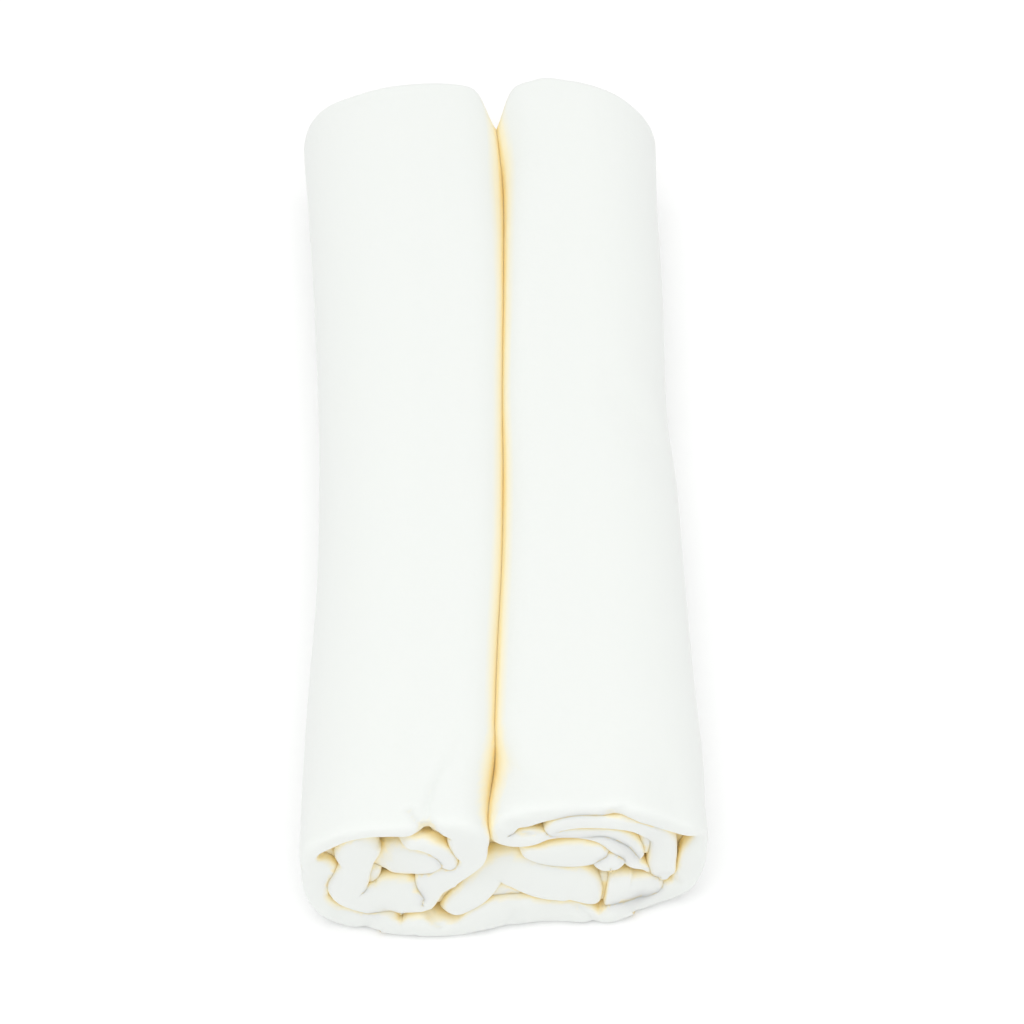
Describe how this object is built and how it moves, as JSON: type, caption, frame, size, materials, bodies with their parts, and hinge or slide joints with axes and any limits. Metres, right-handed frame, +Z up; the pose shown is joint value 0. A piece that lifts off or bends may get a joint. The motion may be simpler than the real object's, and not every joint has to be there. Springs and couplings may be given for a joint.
{
  "type": "rolled turban cloth",
  "caption": "White cotton turban cloth folded to a thick pad and rolled in from both ends, so that two soft rolls lie side by side.",
  "frame": {"origin": "middle of the bounding box, at the surface that the cloth rests on", "axes": "+Y along the two rolls towards the far end, +X across them to the right, +Z up"},
  "size_m": [0.1196, 0.287, 0.0544],
  "materials": {
    "white_cotton": "matte, fine plain-weave cotton voile"
  },
  "bodies": {
    "root": {"turban_cloth": "white_cotton"}
  },
  "joints": []
}
